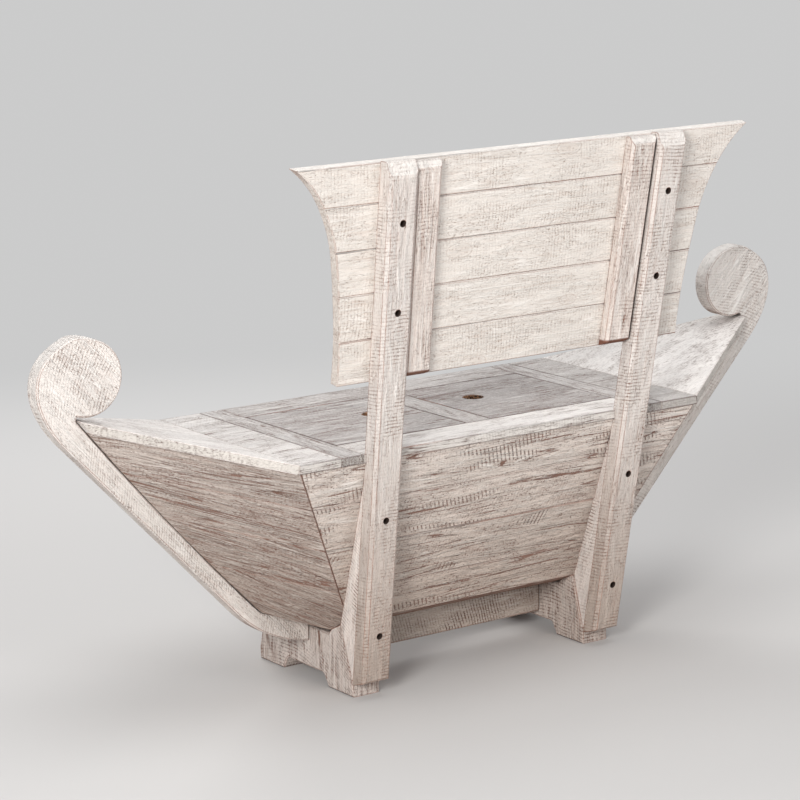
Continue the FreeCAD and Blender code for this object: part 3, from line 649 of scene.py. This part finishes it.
def wood_material(name, points, slot, group, number, screws):
    """Whitewashed wood for one board, with its own stretch of grain."""
    material, graph, shader = new_material("wood_" + name, WOOD_SPECULAR)
    turn = Matrix(board_axes(name, points))
    turned = points @ np.array(turn).T
    seed = (number + 1) * SEED_STEP
    place = graph.node("ShaderNodeTexCoord").outputs["Object"]
    height = graph.parts(place)["Z"]
    mapping = graph.node("ShaderNodeMapping", vector_type="POINT")
    mapping.inputs["Rotation"].default_value = turn.to_euler("XYZ")
    mapping.inputs["Location"].default_value = -middle_of(turned)
    graph.put(mapping.inputs["Vector"], place)
    wash = graph.node("ShaderNodeGroup", node_tree=group)
    settings = {
        "vector": mapping.outputs["Vector"],
        "half": tuple((turned.max(axis=0) - turned.min(axis=0)) / 2),
        "along": tuple(turn[0]),
        "seed": seed,
        "lean": SAW_LEAN * math.sin(seed),
        "ends": 1.0 if name.startswith(BUTTED) else 0.0,
        "shade": 1.0 + SHADE_SPREAD * math.sin(seed * 2),
        "height": height,
    }
    settings.update(board_finish(name, slot))
    for key, value in settings.items():
        graph.put(wash.inputs[key], value)
    colour = wash.outputs["color"]
    if name in FINGER_HOLES:
        centre, radius = FINGER_HOLES[name]
        colour = bored(graph, colour, place, centre, UPRIGHT, radius, BARE_WOOD)
    if name.startswith("back_batten"):
        foot = points[:, 2].min() + BATTEN_FOOT
        foot_mask = graph.ramp(height, foot, foot - BATTEN_FOOT / 3)
        colour = graph.mix(foot_mask, colour, BATTEN_FOOT_COLOUR)
    # Painted shade: the screw bores are painted near black, as the shade in the holes
    for centre, axis in screws:
        colour = bored(graph, colour, place, centre, axis, SCREW_HOLE_RADIUS, CREVICE_SHADE_AND_DIRT)
    graph.put(shader.inputs["Base Color"], colour)
    graph.put(shader.inputs["Roughness"], wash.outputs["roughness"])
    graph.put(shader.inputs["Normal"], wash.outputs["normal"])
    return material


def bored(graph, colour, place, centre, axis, radius, wall):
    """The colour with a bored hole's wall, where a place lies within it: bare wood in the finger
    holes, painted shade in the screw bores.
    """
    off = graph.vector("SUBTRACT", place, tuple(centre))
    reach = graph.vector("LENGTH", graph.vector("CROSS_PRODUCT", off, tuple(axis)))
    inside = graph.ramp(reach, radius + BORE_RIM, radius + BORE_RIM / 2)
    dirt = graph.shows(graph.pattern(place, "bore_dirt"), "bore_dirt")
    return graph.mix(inside, colour, graph.mix(dirt, wall, CREVICE_SHADE_AND_DIRT))


def screw_axes(nodes):
    """Centre and direction of every screw, by the name of the post it holds."""
    found = {"post_left": [], "post_right": []}
    for name, obj in nodes.items():
        if name.endswith("_screws"):
            points = mesh_points(obj)
            for post, chosen in (("post_left", points[:, 0] > 0), ("post_right", points[:, 0] < 0)):
                for screw in parted_by_height(points[chosen]):
                    found[post].append((middle_of(screw), main_axes(screw)[1].normalized()))
    return found


def parted_by_height(points):
    """The lower and the upper screw's points, parted at the widest gap in height."""
    points = points[np.argsort(points[:, 2])]
    split = np.argmax(np.diff(points[:, 2])) + 1
    return points[:split], points[split:]


def steel_material():
    """Dark, dull, rusted screw steel."""
    material, graph, shader = new_material("screw_steel", STEEL_SPECULAR)
    rust = graph.pattern(graph.node("ShaderNodeTexCoord").outputs["Object"], "rust")
    graph.put(shader.inputs["Base Color"], graph.mix(rust, STEEL_DARK, STEEL_RUST))
    roughness = graph.plus(STEEL_ROUGHNESS, graph.times(rust, RUST_ROUGHNESS))
    graph.put(shader.inputs["Roughness"], roughness)
    return material


def dress_nodes(frame):
    """Give every wooden node its own material, and the screws the shared steel."""
    slots = {row["node"]: row["material_slot"] for row in frame["record"]["subparts"]}
    group = whitewash_group()
    steel = steel_material()
    screws = screw_axes(frame["nodes"])
    for number, (name, obj) in enumerate(sorted(frame["nodes"].items())):
        material = steel
        if slots[name] != "screw_steel":
            held = screws.get(name, ())
            material = wood_material(name, mesh_points(obj), slots[name], group, number, held)
        obj.data.materials.clear()
        obj.data.materials.append(material)


def seen_straight(graph):
    """1 for rays that show the background itself: from the camera, or mirrored or through glass."""
    path = graph.node("ShaderNodeLightPath").outputs
    seen = graph.most(path["Is Camera Ray"], path["Is Glossy Ray"])
    return graph.most(seen, path["Is Transmission Ray"])


def mixed_shader(graph, factor, first, second, output):
    """Put a mix of two shaders into a tree's output."""
    joined = graph.node("ShaderNodeMixShader")
    graph.fill(joined.inputs, (factor, first.outputs[0], second.outputs[0]))
    graph.put(graph.tree.nodes[output].inputs["Surface"], joined.outputs[0])


def add_floor():
    """Plain pale floor that fades into the backdrop with distance."""
    half = FLOOR_SIZE / 2
    corner_places = [(-half, -half, 0), (half, -half, 0), (half, half, 0), (-half, half, 0)]
    mesh = bpy.data.meshes.new("floor")
    mesh.from_pydata(corner_places, [], [(0, 1, 2, 3)])
    floor = bpy.data.objects.new("floor", mesh)
    bpy.context.scene.collection.objects.link(floor)
    material, graph, shader = new_material("floor", FLOOR_SPECULAR)
    shader.inputs["Base Color"].default_value = (*FLOOR_COLOUR, 1.0)
    shader.inputs["Roughness"].default_value = FLOOR_ROUGHNESS
    glow = graph.node("ShaderNodeEmission")
    glow.inputs["Color"].default_value = (*BACKDROP_COLOUR, 1.0)
    place = graph.node("ShaderNodeTexCoord").outputs["Object"]
    far = graph.ramp(graph.vector("LENGTH", place), FADE_START, FADE_END)
    mixed_shader(graph, graph.times(far, seen_straight(graph)), shader, glow, "Material Output")
    mesh.materials.append(material)


def add_lamp(name, place, aim, size, power, colour):
    """Round soft lamp that looks from a place to an aim."""
    light = bpy.data.lights.new(name, "AREA")
    light.shape = "DISK"
    light.size = size
    light.energy = power
    light.color = colour
    lamp = bpy.data.objects.new(name, light)
    lamp.location = place
    lamp.rotation_mode = "QUATERNION"
    lamp.rotation_quaternion = (Vector(aim) - Vector(place)).to_track_quat("-Z", "Y")
    bpy.context.scene.collection.objects.link(lamp)


def add_world():
    """Plain pale world, seen as the backdrop's colour."""
    world = bpy.data.worlds.new("studio")
    bpy.context.scene.world = world
    world.use_nodes = True
    graph = Graph(world.node_tree)
    light = world.node_tree.nodes["Background"]
    light.inputs["Color"].default_value = (*WORLD_COLOUR, 1.0)
    light.inputs["Strength"].default_value = WORLD_STRENGTH
    backdrop = graph.node("ShaderNodeBackground")
    backdrop.inputs["Color"].default_value = (*BACKDROP_COLOUR, 1.0)
    mixed_shader(graph, seen_straight(graph), light, backdrop, "World Output")


def add_camera():
    """Camera at the photograph's place."""
    azimuth, pitch, roll = (math.radians(a) for a in (CAMERA_AZIMUTH, CAMERA_PITCH, CAMERA_ROLL))
    ahead = Vector((
        -math.sin(azimuth) * math.cos(pitch),
        math.cos(azimuth) * math.cos(pitch),
        -math.sin(pitch),
    ))
    level = ahead.cross(UPRIGHT).normalized()
    square = level.cross(ahead)
    right = level * math.cos(roll) + square * math.sin(roll)
    up = square * math.cos(roll) - level * math.sin(roll)
    turn = Matrix((right, up, -ahead)).transposed()
    data = bpy.data.cameras.new("camera")
    data.lens = CAMERA_LENS_MM
    data.sensor_width = CAMERA_SENSOR_MM
    camera = bpy.data.objects.new("camera", data)
    camera.matrix_world = Matrix.Translation(CAMERA_PLACE) @ turn.to_4x4()
    bpy.context.scene.collection.objects.link(camera)
    bpy.context.scene.camera = camera


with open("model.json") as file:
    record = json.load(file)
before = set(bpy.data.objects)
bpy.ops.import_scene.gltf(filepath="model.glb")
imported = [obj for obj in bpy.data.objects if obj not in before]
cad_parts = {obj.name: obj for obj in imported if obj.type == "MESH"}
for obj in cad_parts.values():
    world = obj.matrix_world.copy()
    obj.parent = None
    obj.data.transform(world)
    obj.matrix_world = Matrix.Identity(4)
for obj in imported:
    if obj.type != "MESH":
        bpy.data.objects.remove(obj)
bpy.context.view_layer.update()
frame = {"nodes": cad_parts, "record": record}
bpy.context.scene.view_settings.view_transform = "Standard"
dress_nodes(frame)
add_floor()
for lamp in LAMPS:
    add_lamp(*lamp)
add_world()
add_camera()
